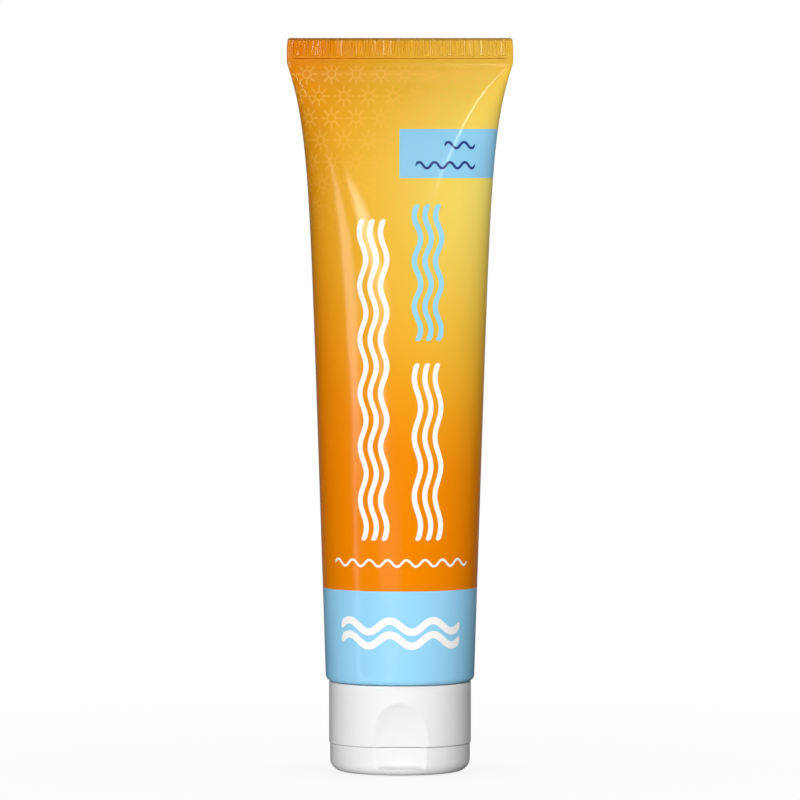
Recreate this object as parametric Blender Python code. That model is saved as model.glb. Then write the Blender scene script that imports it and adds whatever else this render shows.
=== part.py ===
"""Squeeze tube of sun lotion, standing on its flip-top screw cap.

Metres, +Z up. The origin is the centre of the lid's flat face, on which the tube stands.
The thumb recess looks towards -Y and the lid's hinge is at the back, towards +Y.
The tube's sleeve is a round film tube pressed flat at its top end, so every section of it
keeps nearly the girth of the round tube.
"""

import math

import bmesh
import bpy
import numpy as np
from mathutils import Matrix

# Sleeve
TUBE_DIAMETER = 0.0350
SLEEVE_LENGTH = 0.1515
SLEEVE_WALL = 0.00045
SLEEVE_END_RADIUS = 0.0013
SEAL_WIDTH = 0.0533
SEAL_LENGTH = 0.0063
SEAL_THICKNESS = 0.0009
FLARE_LENGTH = 0.0125
FLARE_EASE = 0.0015
PANEL_LENGTH = 0.0580
TAPER_SHARE = 0.51

# Pressed ribs of the end seal
SEAL_RIB_PITCH = 0.00071
SEAL_RIB_HEIGHT = 0.00012
SEAL_RIB_ROOT = 0.00003
SEAL_RIB_LENGTH = 0.0038
SEAL_EDGE = 0.0008

# Shoulder and neck
SHOULDER_SLOPE = math.radians(22)
SHOULDER_THICKNESS = 0.0013
SHOULDER_RIM_WALL = 0.0010
SHOULDER_RIM_HEIGHT = 0.0027
SHOULDER_STEP = 0.0003
NECK_RADIUS = 0.0060
NECK_LENGTH = 0.0084
NECK_WALL = 0.0010
NECK_CHAMFER = 0.0003

# Lotion
LOTION_HEIGHT = 0.1110

# Lid, whose wall is set back a little from the base's
LID_SETBACK = 0.00025
LID_HEIGHT = 0.0066
LID_WALL = 0.0011
LID_FILLET = 0.0029
PIN_TAPER = 0.0004
PIN_TIP_LENGTH = 0.0022
PIN_REACH = 0.0006
SEAL_RING_WALL = 0.0007
SEAL_RING_OVERLAP = 0.0008

# Cap base, whose wall is set back from the sleeve's
BASE_SETBACK = 0.00075
BASE_WALL = 0.0011
BASE_DECK = 0.0012
SOCKET_CLEARANCE = 0.0010
SOCKET_WALL = 0.0011
SOCKET_HEIGHT = 0.0090
WEB_THICKNESS = 0.0008
WEB_HEIGHT = 0.0070
SPOUT_RADIUS = 0.0035
SPOUT_LENGTH = 0.0030
SPOUT_CHAMFER = 0.0004
ORIFICE_RADIUS = 0.0016
COLLAR_CLEARANCE = 0.0006
COLLAR_WALL = 0.0009
COLLAR_LENGTH = 0.0016
SNAP_BEAD = 0.00025
EDGE_CHAMFER = 0.00015

# Thumb recess across the front of the base and the lid
THUMB_HALF_WIDTH = 0.0066
THUMB_DEPTH = 0.00215
THUMB_RISE = 0.0104
THUMB_SPRING_RISE = 0.0006
THUMB_LEDGE_HEIGHT = 0.0019
THUMB_OFFSET = 0.00225

# Sealing washer
WASHER_THICKNESS = 0.0008
WASHER_OVERLAP = 0.0002
WASHER_CLEARANCE = 0.0004

# Hinge at the back
HINGE_OFFSET = 0.0003
FILM_WIDTH = 0.0060
FILM_REACH = 0.0018
FILM_THICKNESS = 0.00035
FILM_GROOVE = 0.00012
FILM_GROOVE_REACH = 0.0004
STRAP_SPACING = 0.0036
STRAP_WIDTH = 0.0024
STRAP_WAIST = 0.0016
STRAP_REACH = 0.0023
STRAP_THICKNESS = 0.0006

# Clearances and working values
SEAM_GAP = 0.0002
SEAT_GAP = 0.0002
PIECE_GAP = 0.0003
CUT_OVERRUN = 0.0010
MERGE_DISTANCE = 0.000001
RING_SEGMENTS = 48
SMALL_RING_SEGMENTS = 32
PIN_SEGMENTS = 24
SLEEVE_ROWS = 18
CORNER_STEPS = 4
FILLET_STEPS = 7
ROW_CROWDING = 1.8
PANEL_POWER = 1.5
TURN_SHARE = 0.5
MAX_HALVINGS = 40
CURVE_SAMPLES = 200
THUMB_STEPS = 12
THUMB_SEGMENTS = 40
WEB_COUNT = 8
SHARP_ANGLE = math.radians(35)

# Radii that follow from the tube's diameter and the neck
TUBE_RADIUS = TUBE_DIAMETER / 2
SHOULDER_RADIUS = TUBE_RADIUS - SLEEVE_END_RADIUS - PIECE_GAP
BASE_RADIUS = TUBE_RADIUS - BASE_SETBACK
LID_RADIUS = BASE_RADIUS - LID_SETBACK
LID_INNER_RADIUS = LID_RADIUS - LID_WALL
BASE_INNER_RADIUS = BASE_RADIUS - BASE_WALL
NECK_BORE_RADIUS = NECK_RADIUS - NECK_WALL
SOCKET_RADIUS = NECK_RADIUS + SOCKET_CLEARANCE
PIN_RADIUS = ORIFICE_RADIUS - PIECE_GAP
COLLAR_RADIUS = LID_INNER_RADIUS - COLLAR_CLEARANCE
HINGE_DEPTH = BASE_RADIUS + HINGE_OFFSET
STRAP_PLACE = FILM_WIDTH / 2 + STRAP_SPACING

# Heights that follow from the stack of pieces
BASE_BOTTOM = LID_HEIGHT + SEAM_GAP
DECK_TOP = BASE_BOTTOM + BASE_DECK
WASHER_BOTTOM = DECK_TOP + SEAT_GAP
WASHER_TOP = WASHER_BOTTOM + WASHER_THICKNESS
NECK_MOUTH = WASHER_TOP + SEAT_GAP
NECK_ROOT = NECK_MOUTH + NECK_LENGTH
SLEEVE_END = (
    NECK_ROOT + (SHOULDER_RADIUS - NECK_RADIUS) * math.tan(SHOULDER_SLOPE) - SHOULDER_STEP
)
BASE_TOP = SLEEVE_END - PIECE_GAP
SLEEVE_TOP = SLEEVE_END + SLEEVE_LENGTH
SEAL_BASE = SLEEVE_TOP - SEAL_LENGTH
SPOUT_END = BASE_BOTTOM - SPOUT_LENGTH
HINGE_HEIGHT = LID_HEIGHT + SEAM_GAP / 2
THUMB_TOP = BASE_BOTTOM + THUMB_RISE
THUMB_SPRING_HEIGHT = BASE_BOTTOM + THUMB_SPRING_RISE

# Colour and roughness of each material
MATERIALS = {
    "printed_film": ((0.930, 0.300, 0.020, 1.0), 0.30),
    "white_plastic": ((0.850, 0.850, 0.840, 1.0), 0.32),
    "natural_plastic": ((0.780, 0.780, 0.750, 1.0), 0.40),
    "washer_foam": ((0.700, 0.720, 0.740, 1.0), 0.70),
    "lotion": ((0.900, 0.860, 0.760, 1.0), 0.25),
}


def clear_scene():
    for scene_object in list(bpy.data.objects):
        bpy.data.objects.remove(scene_object, do_unlink=True)


def make_material(name):
    colour, roughness = MATERIALS[name]
    material = bpy.data.materials.new(name)
    material.use_nodes = True
    shader = material.node_tree.nodes["Principled BSDF"]
    shader.inputs["Base Color"].default_value = colour
    shader.inputs["Roughness"].default_value = roughness
    shader.inputs["Metallic"].default_value = 0.0
    material.diffuse_color = colour
    return material


def add_object(name, bm, material=None):
    bmesh.ops.remove_doubles(bm, verts=bm.verts, dist=MERGE_DISTANCE)
    bmesh.ops.recalc_face_normals(bm, faces=bm.faces)
    mesh = bpy.data.meshes.new(name)
    bm.to_mesh(mesh)
    bm.free()
    mesh.shade_smooth()
    mesh.set_sharp_from_angle(angle=SHARP_ANGLE)
    made = bpy.data.objects.new(name, mesh)
    bpy.context.scene.collection.objects.link(made)
    if material is None:
        made.hide_render = True
        made.display_type = "WIRE"
    else:
        mesh.materials.append(material)
    return made


def combine(target, tool, operation):
    modifier = target.modifiers.new(operation.lower() + "_" + tool.name, "BOOLEAN")
    modifier.operation = operation
    modifier.solver = "EXACT"
    modifier.object = tool


def even_shading(target):
    """Lets the large faces set the shading, so the faces that a cut leaves don't smear it."""
    target.modifiers.new("weighted_normals", "WEIGHTED_NORMAL")


def add_axis(name, place):
    """An empty on the axis that the pieces under it move about."""
    axis = bpy.data.objects.new(name, None)
    axis.location = place
    bpy.context.scene.collection.objects.link(axis)
    return axis


def hang_on(piece, axis):
    """Parents a piece to an axis and leaves it where it is."""
    bpy.context.view_layer.update()
    place = piece.matrix_world.copy()
    piece.parent = axis
    piece.matrix_parent_inverse = Matrix()
    piece.matrix_local = axis.matrix_world.inverted() @ place


def arc(centre_radius, centre_height, radius, start, end, steps):
    """Profile points on a round corner, from one angle to another."""
    angles = np.linspace(start, end, steps + 1)
    return [
        (centre_radius + radius * math.cos(a), centre_height + radius * math.sin(a))
        for a in angles
    ]


def revolve(name, profile, segments, material=None):
    """Turns a profile of (radius, height) points about the Z axis."""
    bm = bmesh.new()
    verts = [bm.verts.new((r, 0, z)) for r, z in profile]
    edges = [bm.edges.new(pair) for pair in zip(verts, verts[1:])]
    if profile[0][0] > 0:
        edges.append(bm.edges.new((verts[-1], verts[0])))
    bmesh.ops.spin(
        bm,
        geom=verts + edges,
        cent=(0, 0, 0),
        axis=(0, 0, 1),
        angle=math.tau,
        steps=segments,
        use_merge=True,
    )
    return add_object(name, bm, material)


def loft(name, rings, material=None):
    """Skins a stack of rings that have the same count of points, and closes both ends."""
    bm = bmesh.new()
    loops = [[bm.verts.new(point) for point in ring] for ring in rings]
    for lower, upper in zip(loops, loops[1:]):
        for i, corner in enumerate(lower):
            following = (i + 1) % len(lower)
            bm.faces.new((corner, lower[following], upper[following], upper[i]))
    bm.faces.new(list(reversed(loops[0])))
    bm.faces.new(loops[-1])
    return add_object(name, bm, material)


def extrude(name, outline, lift, place, material=None):
    """Extrudes a flat outline by a vector and moves the solid with a matrix."""
    bm = bmesh.new()
    face = bm.faces.new([bm.verts.new(point) for point in outline])
    grown = bmesh.ops.extrude_face_region(bm, geom=[face])
    moved = [item for item in grown["geom"] if isinstance(item, bmesh.types.BMVert)]
    bmesh.ops.translate(bm, verts=moved, vec=lift)
    bmesh.ops.transform(bm, matrix=place, verts=bm.verts)
    return add_object(name, bm, material)


def box(name, low, high, place, material=None):
    outline = [
        (low[0], low[1], low[2]),
        (high[0], low[1], low[2]),
        (high[0], high[1], low[2]),
        (low[0], high[1], low[2]),
    ]
    return extrude(name, outline, (0, 0, high[2] - low[2]), place, material)


# Sections of the sleeve
def sleeve_half_width(drop):
    """Half the sleeve's width, at a drop below the end seal.

    It falls off in a short flare under the seal, which starts gently, and in a long taper.
    """
    reach = SEAL_BASE - SLEEVE_END
    flare, floor = (math.exp(-d * d / (d + FLARE_EASE) / FLARE_LENGTH) for d in (drop, reach))
    share = TAPER_SHARE * (1 - drop / reach)
    share += (1 - TAPER_SHARE) * (flare - floor) / (1 - floor)
    return (TUBE_DIAMETER + (SEAL_WIDTH - TUBE_DIAMETER) * share) / 2


def panel_half_width(drop):
    """Half the flat triangular panel that the press leaves under the end seal.

    It stops short of the sides, where the fold is no tighter than the film is thick.
    """
    panel = SEAL_WIDTH / 2 * max(0, 1 - drop / PANEL_LENGTH) ** PANEL_POWER
    return min(panel, sleeve_half_width(drop) - 2 * SLEEVE_WALL)


def ellipse_girth(a, b):
    return math.pi * (3 * (a + b) - math.sqrt((3 * a + b) * (a + 3 * b)))


def film_girth(drop):
    """The round tube's girth, which the press draws in a little towards the seal."""
    seal = 2 * SEAL_WIDTH + (math.pi - 2) * SEAL_THICKNESS
    return seal + (math.pi * TUBE_DIAMETER - seal) * (1 - math.exp(-drop / FLARE_LENGTH))


def sleeve_half_depth(drop):
    """Half the sleeve's depth, which takes up the girth that the width leaves."""
    flat = panel_half_width(drop)
    end = sleeve_half_width(drop) - flat
    girth = film_girth(drop)
    low, high = 0, TUBE_DIAMETER
    for _ in range(MAX_HALVINGS):
        middle = (low + high) / 2
        if 4 * flat + ellipse_girth(end, middle) < girth:
            low = middle
        else:
            high = middle
    return (low + high) / 2


def section(half_width, half_depth, flat, height, segments):
    """A ring of points: two straight panels joined by half ellipses.

    The points are spaced by the way along the outline and by its turning, in equal parts,
    so that the tight folds at the sides get their share of them.
    """
    end = half_width - flat
    turn = np.linspace(0, math.pi / 2, CURVE_SAMPLES)
    x = np.concatenate([[0], flat + end * np.sin(turn)])
    y = np.concatenate([[half_depth], half_depth * np.cos(turn)])
    run = np.concatenate([[0], np.cumsum(np.hypot(np.diff(x), np.diff(y)))])
    turned = np.concatenate([[0], turn])
    progress = (1 - TURN_SHARE) * run / run[-1] + TURN_SHARE * turned / turned[-1]
    stations = np.linspace(0, 1, segments // 4 + 1)
    quarter = list(zip(np.interp(stations, progress, x), np.interp(stations, progress, y)))
    half = quarter + [(px, -py) for px, py in reversed(quarter[:-1])]
    ring = half + [(-px, py) for px, py in reversed(half[1:-1])]
    return [(px, py, height) for px, py in ring]


def sleeve_section(drop, inset, segments):
    """The sleeve's section at a drop below the end seal, drawn in by an inset."""
    return section(
        sleeve_half_width(drop) - inset,
        sleeve_half_depth(drop) - inset,
        panel_half_width(drop),
        SEAL_BASE - drop,
        segments,
    )


def round_section(radius, height, segments):
    return section(radius, radius, 0, height, segments)


def sleeve_drops():
    """Drops of the sleeve's rows, crowded towards the seal where the shape turns fastest."""
    reach = SEAL_BASE - SLEEVE_END - SLEEVE_END_RADIUS
    shares = (np.arange(1, SLEEVE_ROWS + 1) / SLEEVE_ROWS) ** ROW_CROWDING
    return [reach * share for share in shares]


def end_corner(radius):
    """Profile of the sleeve's rounded end, from the wall round to the turned-in lip."""
    centre = TUBE_RADIUS - SLEEVE_END_RADIUS
    return arc(centre, SLEEVE_END + SLEEVE_END_RADIUS, radius, 0, -math.pi / 2, CORNER_STEPS)


def seal_section(height):
    half_thickness = SEAL_THICKNESS / 2
    flat = SEAL_WIDTH / 2 - half_thickness
    return section(SEAL_WIDTH / 2, half_thickness, flat, height, RING_SEGMENTS)


def seal_ribs():
    """The ribbed block that the press leaves across both faces of the end seal."""
    half_width = SEAL_WIDTH / 2 - SEAL_RIB_PITCH
    count = round(2 * half_width / SEAL_RIB_PITCH)
    crest = SEAL_THICKNESS / 2 + SEAL_RIB_HEIGHT
    root = SEAL_THICKNESS / 2 - SEAL_RIB_ROOT
    top = SLEEVE_TOP - SEAL_EDGE
    front = []
    for i in range(2 * count + 1):
        x = half_width * (i / count - 1)
        front.append((x, -crest if i % 2 else -root, top - SEAL_RIB_LENGTH))
    back = [(x, -y, z) for x, y, z in reversed(front)]
    return extrude("seal_rib_tool", front + back, (0, 0, SEAL_RIB_LENGTH), Matrix())


def make_sleeve(material):
    drops = sleeve_drops()
    inner_end = SLEEVE_END_RADIUS - SLEEVE_WALL
    rings = [sleeve_section(drop, SLEEVE_WALL, RING_SEGMENTS) for drop in drops]
    rings += [round_section(r, z, RING_SEGMENTS) for r, z in end_corner(inner_end)[1:]]
    rings += [
        round_section(r, z, RING_SEGMENTS) for r, z in reversed(end_corner(SLEEVE_END_RADIUS)[1:])
    ]
    rings += [sleeve_section(drop, 0, RING_SEGMENTS) for drop in reversed(drops)]
    rings += [seal_section(SEAL_BASE), seal_section(SLEEVE_TOP)]
    sleeve = loft("tube_sleeve", rings, material)
    combine(sleeve, seal_ribs(), "UNION")
    return sleeve


# Shoulder, neck and lotion
def shoulder_cone_height(radius):
    """Height of the shoulder's outer cone at a radius."""
    return NECK_ROOT + (radius - NECK_RADIUS) * math.tan(SHOULDER_SLOPE)


def make_shoulder(material):
    rim_gap = SLEEVE_WALL + PIECE_GAP
    outer_rim = TUBE_RADIUS - rim_gap
    rim_top = SLEEVE_END + SHOULDER_RIM_HEIGHT
    inner_rim = outer_rim - SHOULDER_RIM_WALL
    bore = NECK_BORE_RADIUS
    profile = [(inner_rim, rim_top), (outer_rim, rim_top)]
    profile += end_corner(SLEEVE_END_RADIUS - rim_gap)
    profile += [
        (SHOULDER_RADIUS, SLEEVE_END + rim_gap),
        (SHOULDER_RADIUS, shoulder_cone_height(SHOULDER_RADIUS)),
        (NECK_RADIUS, NECK_ROOT),
        (NECK_RADIUS, NECK_MOUTH + NECK_CHAMFER),
        (NECK_RADIUS - NECK_CHAMFER, NECK_MOUTH),
        (bore, NECK_MOUTH),
        (bore, shoulder_cone_height(bore) + SHOULDER_THICKNESS),
        (inner_rim, shoulder_cone_height(inner_rim) + SHOULDER_THICKNESS),
    ]
    return revolve("tube_shoulder", profile, RING_SEGMENTS, material)


def make_lotion(material):
    inset = SLEEVE_WALL + PIECE_GAP
    segments = SMALL_RING_SEGMENTS
    column = NECK_BORE_RADIUS - PIECE_GAP
    rim = TUBE_RADIUS - inset - SHOULDER_RIM_WALL - PIECE_GAP
    lift = SHOULDER_THICKNESS + PIECE_GAP
    rim_top = SLEEVE_END + SHOULDER_RIM_HEIGHT + PIECE_GAP
    rings = [
        round_section(column, NECK_MOUTH + NECK_CHAMFER, segments),
        round_section(column, shoulder_cone_height(column) + lift, segments),
        round_section(rim, shoulder_cone_height(rim) + lift, segments),
        round_section(rim, rim_top, segments),
    ]
    surface = SEAL_BASE - SLEEVE_END - LOTION_HEIGHT
    drops = [d for d in sleeve_drops() if surface < d < SEAL_BASE - rim_top - inset]
    drops = [SEAL_BASE - rim_top] + drops[::-1] + [surface]
    rings += [sleeve_section(drop, inset, segments) for drop in drops]
    return loft("lotion_fill", rings, material)


# Thumb recess
def thumb_tool(name, grow, low, high=None):
    """The body that hollows the thumb recess, grown on all sides by a wall.

    It is an upright elliptic column in front of the cap, closed above by half an ellipsoid.
    """
    centre = BASE_RADIUS + THUMB_OFFSET
    reach = THUMB_OFFSET + THUMB_DEPTH
    edge = centre - math.sqrt(BASE_RADIUS**2 - THUMB_HALF_WIDTH**2)
    half_width = THUMB_HALF_WIDTH / math.sqrt(1 - (edge / reach) ** 2) + grow
    rise = (THUMB_TOP - THUMB_SPRING_HEIGHT) / math.sqrt(1 - (THUMB_OFFSET / reach) ** 2) + grow
    turn = np.linspace(0, math.pi / 2, THUMB_STEPS + 1)[:-1]
    levels = [(low, 1.0)]
    levels += [(THUMB_SPRING_HEIGHT + rise * math.sin(a), math.cos(a)) for a in turn]
    if high is not None:
        levels = [(low, 1.0), (high, 1.0)]
    rings = []
    for height, shrink in levels:
        ring = section(
            half_width * shrink, (reach + grow) * shrink, 0, height, THUMB_SEGMENTS
        )
        rings.append([(x, y - centre, z) for x, y, z in ring])
    return loft(name, rings)


# Lid
def make_lid(material):
    centre = LID_RADIUS - LID_FILLET
    outside = [(0, 0)]
    outside += arc(centre, LID_FILLET, LID_FILLET, -math.pi / 2, 0, FILLET_STEPS)
    outside += [
        (LID_RADIUS, LID_HEIGHT - EDGE_CHAMFER),
        (LID_RADIUS - EDGE_CHAMFER, LID_HEIGHT),
        (0, LID_HEIGHT),
    ]
    lid = revolve("flip_lid", outside, RING_SEGMENTS, material)

    inner_fillet = LID_FILLET - LID_WALL
    hollow = [(0, LID_WALL)]
    hollow += arc(centre, LID_FILLET, inner_fillet, -math.pi / 2, 0, CORNER_STEPS)
    hollow += [(LID_INNER_RADIUS, LID_HEIGHT + CUT_OVERRUN), (0, LID_HEIGHT + CUT_OVERRUN)]
    cavity = revolve("lid_cavity_tool", hollow, RING_SEGMENTS)
    ledge = THUMB_LEDGE_HEIGHT
    combine(cavity, thumb_tool("lid_thumb_wall_tool", LID_WALL, ledge - LID_WALL), "DIFFERENCE")
    combine(lid, cavity, "DIFFERENCE")

    plate_middle = LID_WALL / 2
    pin_top = BASE_BOTTOM + PIN_REACH
    pin = [
        (0, plate_middle),
        (PIN_RADIUS, plate_middle),
        (PIN_RADIUS, pin_top - PIN_TIP_LENGTH),
        (PIN_RADIUS - PIN_TAPER, pin_top),
        (0, pin_top),
    ]
    combine(lid, revolve("lid_pin_tool", pin, PIN_SEGMENTS), "UNION")

    ring_inner = SPOUT_RADIUS + PIECE_GAP
    ring_outer = ring_inner + SEAL_RING_WALL
    ring_top = SPOUT_END + SEAL_RING_OVERLAP
    ring = [
        (ring_outer, plate_middle),
        (ring_outer, ring_top),
        (ring_inner, ring_top),
        (ring_inner, plate_middle),
    ]
    combine(lid, revolve("lid_ring_tool", ring, SMALL_RING_SEGMENTS), "UNION")
    combine(lid, thumb_tool("lid_thumb_tool", 0, ledge), "DIFFERENCE")
    for tool in strap_windows("lid"):
        combine(lid, tool, "DIFFERENCE")
    even_shading(lid)
    return lid


# Cap base
def make_base(material):
    outside = [
        (ORIFICE_RADIUS, SPOUT_END),
        (SPOUT_RADIUS - SPOUT_CHAMFER, SPOUT_END),
        (SPOUT_RADIUS, SPOUT_END + SPOUT_CHAMFER),
        (SPOUT_RADIUS, BASE_BOTTOM),
        (BASE_RADIUS - EDGE_CHAMFER, BASE_BOTTOM),
        (BASE_RADIUS, BASE_BOTTOM + EDGE_CHAMFER),
        (BASE_RADIUS, BASE_TOP - EDGE_CHAMFER),
        (BASE_RADIUS - EDGE_CHAMFER, BASE_TOP),
        (SOCKET_RADIUS, BASE_TOP),
        (SOCKET_RADIUS, DECK_TOP),
        (ORIFICE_RADIUS, DECK_TOP),
    ]
    base = revolve("cap_base", outside, RING_SEGMENTS, material)

    socket_outer = SOCKET_RADIUS + SOCKET_WALL
    socket_top = DECK_TOP + SOCKET_HEIGHT
    cavity_top = BASE_TOP + CUT_OVERRUN
    inside_socket = SOCKET_RADIUS - CUT_OVERRUN
    hollow = [
        (socket_outer, DECK_TOP),
        (BASE_INNER_RADIUS, DECK_TOP),
        (BASE_INNER_RADIUS, cavity_top),
        (inside_socket, cavity_top),
        (inside_socket, socket_top),
        (socket_outer, socket_top),
    ]
    cavity = revolve("base_cavity_tool", hollow, RING_SEGMENTS)
    ledge = THUMB_LEDGE_HEIGHT
    combine(cavity, thumb_tool("base_thumb_wall_tool", BASE_WALL, ledge), "DIFFERENCE")
    combine(base, cavity, "DIFFERENCE")
    combine(base, make_collar(), "UNION")
    for i in range(WEB_COUNT):
        combine(base, web(i), "UNION")
    combine(base, thumb_tool("base_thumb_tool", 0, ledge), "DIFFERENCE")
    for tool in strap_windows("base"):
        combine(base, tool, "DIFFERENCE")
    combine(base, film_flat(), "DIFFERENCE")
    even_shading(base)
    return base


def make_collar():
    """The ring under the deck that the lid snaps over, open at the thumb recess."""
    end = BASE_BOTTOM - COLLAR_LENGTH
    bead = end + COLLAR_LENGTH / 2
    ring = [
        (COLLAR_RADIUS, end),
        (COLLAR_RADIUS, bead - SNAP_BEAD),
        (COLLAR_RADIUS + SNAP_BEAD, bead),
        (COLLAR_RADIUS, bead + SNAP_BEAD),
        (COLLAR_RADIUS, BASE_BOTTOM + BASE_DECK / 2),
        (COLLAR_RADIUS - COLLAR_WALL, BASE_BOTTOM + BASE_DECK / 2),
        (COLLAR_RADIUS - COLLAR_WALL, end),
    ]
    collar = revolve("collar_tool", ring, RING_SEGMENTS)
    grow = LID_WALL + PIECE_GAP
    low = end - CUT_OVERRUN
    gap = thumb_tool("collar_gap_tool", grow, low, BASE_BOTTOM + CUT_OVERRUN)
    combine(collar, gap, "DIFFERENCE")
    return collar


def web(index):
    """One upright web between the threaded socket and the outer wall."""
    turn = Matrix.Rotation(math.tau * (index + 0.5) / WEB_COUNT, 4, "Z")
    low = (SOCKET_RADIUS + SOCKET_WALL / 2, -WEB_THICKNESS / 2, DECK_TOP - BASE_DECK / 2)
    high = (BASE_RADIUS - BASE_WALL / 2, WEB_THICKNESS / 2, DECK_TOP + WEB_HEIGHT)
    return box(f"web_tool_{index + 1}", low, high, turn)


# Hinge
def strap_turns():
    """Matrices that carry a strap from the back of the cap to its place on either side."""
    angle = math.asin(STRAP_PLACE / BASE_RADIUS)
    return [("left", Matrix.Rotation(angle, 4, "Z")), ("right", Matrix.Rotation(-angle, 4, "Z"))]


def strap_windows(piece):
    """The windows beside the hinge that the straps lie in."""
    half = STRAP_WIDTH / 2 + PIECE_GAP
    reach = STRAP_REACH + PIECE_GAP
    inner = (COLLAR_RADIUS + SNAP_BEAD + LID_INNER_RADIUS) / 2
    outer = BASE_RADIUS + CUT_OVERRUN
    low = (-half, inner, HINGE_HEIGHT - reach)
    high = (half, outer, HINGE_HEIGHT + reach)
    return [box(f"{piece}_window_tool_{side}", low, high, turn) for side, turn in strap_turns()]


def make_straps(material):
    """Snap straps, waisted at the hinge line, that pull the lid open or shut."""
    wide = STRAP_WIDTH / 2
    narrow = STRAP_WAIST / 2
    shank = STRAP_REACH / 2
    inner = BASE_RADIUS - (BASE_WALL + STRAP_THICKNESS) / 2
    right_side = [
        (wide, STRAP_REACH),
        (wide, shank),
        (narrow, 0),
        (wide, -shank),
        (wide, -STRAP_REACH),
    ]
    left_side = [(-x, z) for x, z in reversed(right_side)]
    outline = [(x, inner, HINGE_HEIGHT + z) for x, z in right_side + left_side]
    made = []
    for side, turn in strap_turns():
        made.append(extrude(f"hinge_strap_{side}", outline, (0, STRAP_THICKNESS, 0), turn, material))
    return made


def film_place():
    """How far back the film's inner face lies."""
    return HINGE_DEPTH - FILM_THICKNESS / 2


def film_flat():
    """The flat on the back of the base that the film lies against."""
    half = FILM_WIDTH / 2 + PIECE_GAP
    floor = film_place() - PIECE_GAP
    low = (-half, floor, BASE_BOTTOM - CUT_OVERRUN)
    high = (half, floor + CUT_OVERRUN, HINGE_HEIGHT + FILM_REACH + PIECE_GAP)
    return box("film_flat_tool", low, high, Matrix())


def make_film(material):
    """The thin film that the lid turns on, grooved along the hinge line."""
    inner = film_place()
    outer = inner + FILM_THICKNESS
    groove = FILM_GROOVE_REACH
    profile = [
        (inner, FILM_REACH),
        (inner, groove),
        (inner + FILM_GROOVE, 0),
        (inner, -groove),
        (inner, -FILM_REACH),
        (outer, -FILM_REACH),
        (outer, FILM_REACH),
    ]
    outline = [(-FILM_WIDTH / 2, y, HINGE_HEIGHT + z) for y, z in profile]
    return extrude("film_hinge", outline, (FILM_WIDTH, 0, 0), Matrix(), material)


def make_washer(material):
    inner = NECK_BORE_RADIUS - WASHER_OVERLAP
    outer = SOCKET_RADIUS - WASHER_CLEARANCE
    ring = [
        (inner, WASHER_BOTTOM),
        (outer, WASHER_BOTTOM),
        (outer, WASHER_TOP),
        (inner, WASHER_TOP),
    ]
    return revolve("sealing_washer", ring, RING_SEGMENTS, material)


def main():
    clear_scene()
    material = {name: make_material(name) for name in MATERIALS}
    white_plastic = material["white_plastic"]
    tube_axis = add_axis("tube_axis", (0, 0, SLEEVE_END))
    screw_axis = add_axis("cap_screw_axis", (0, 0, NECK_MOUTH))
    hinge_axis = add_axis("lid_hinge_axis", (0, HINGE_DEPTH, HINGE_HEIGHT))
    hang_on(screw_axis, tube_axis)
    hang_on(hinge_axis, screw_axis)

    hang_on(make_sleeve(material["printed_film"]), tube_axis)
    hang_on(make_shoulder(material["natural_plastic"]), tube_axis)
    hang_on(make_lotion(material["lotion"]), tube_axis)
    hang_on(make_washer(material["washer_foam"]), screw_axis)
    hang_on(make_base(white_plastic), screw_axis)
    hang_on(make_film(white_plastic), screw_axis)
    for strap in make_straps(white_plastic):
        hang_on(strap, screw_axis)
    hang_on(make_lid(white_plastic), hinge_axis)


main()
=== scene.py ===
"""Looks of a squeeze tube of sun lotion that stands on its flip-top screw cap.

Metres, +Z up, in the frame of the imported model: the origin is the centre of the lid's flat face,
the thumb recess looks towards -Y and the lid's hinge is at the back, towards +Y.
"""

import math

import bmesh
import bpy
import numpy as np
from mathutils import Matrix, Vector


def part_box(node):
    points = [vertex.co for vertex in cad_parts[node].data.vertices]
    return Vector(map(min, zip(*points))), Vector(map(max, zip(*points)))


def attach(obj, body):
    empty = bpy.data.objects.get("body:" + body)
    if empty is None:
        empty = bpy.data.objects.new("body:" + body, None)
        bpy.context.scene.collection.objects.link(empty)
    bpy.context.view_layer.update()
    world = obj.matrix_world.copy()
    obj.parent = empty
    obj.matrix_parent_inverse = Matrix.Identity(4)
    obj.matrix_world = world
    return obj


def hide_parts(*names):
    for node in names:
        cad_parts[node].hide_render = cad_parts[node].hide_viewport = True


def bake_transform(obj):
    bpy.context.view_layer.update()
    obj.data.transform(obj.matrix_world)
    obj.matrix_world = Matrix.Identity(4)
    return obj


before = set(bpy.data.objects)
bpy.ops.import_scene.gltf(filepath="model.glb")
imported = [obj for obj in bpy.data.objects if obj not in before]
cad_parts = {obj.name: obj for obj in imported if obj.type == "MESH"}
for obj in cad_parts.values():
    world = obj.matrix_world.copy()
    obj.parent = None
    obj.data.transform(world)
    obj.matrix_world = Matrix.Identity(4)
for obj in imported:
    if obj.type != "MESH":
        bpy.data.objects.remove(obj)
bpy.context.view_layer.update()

# Sizes that the frame gives
SLEEVE_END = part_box("tube_sleeve")[0].z
SLEEVE_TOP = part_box("tube_sleeve")[1].z
SEAL_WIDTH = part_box("tube_sleeve")[1].x * 2
NECK_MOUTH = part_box("tube_shoulder")[0].z
WASHER_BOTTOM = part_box("sealing_washer")[0].z
WASHER_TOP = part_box("sealing_washer")[1].z
WASHER_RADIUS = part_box("sealing_washer")[1].x
BASE_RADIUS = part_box("cap_base")[1].x
SPOUT_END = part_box("cap_base")[0].z
DECKED_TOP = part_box("cap_base")[1].z
LID_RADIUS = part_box("flip_lid")[1].x

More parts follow.
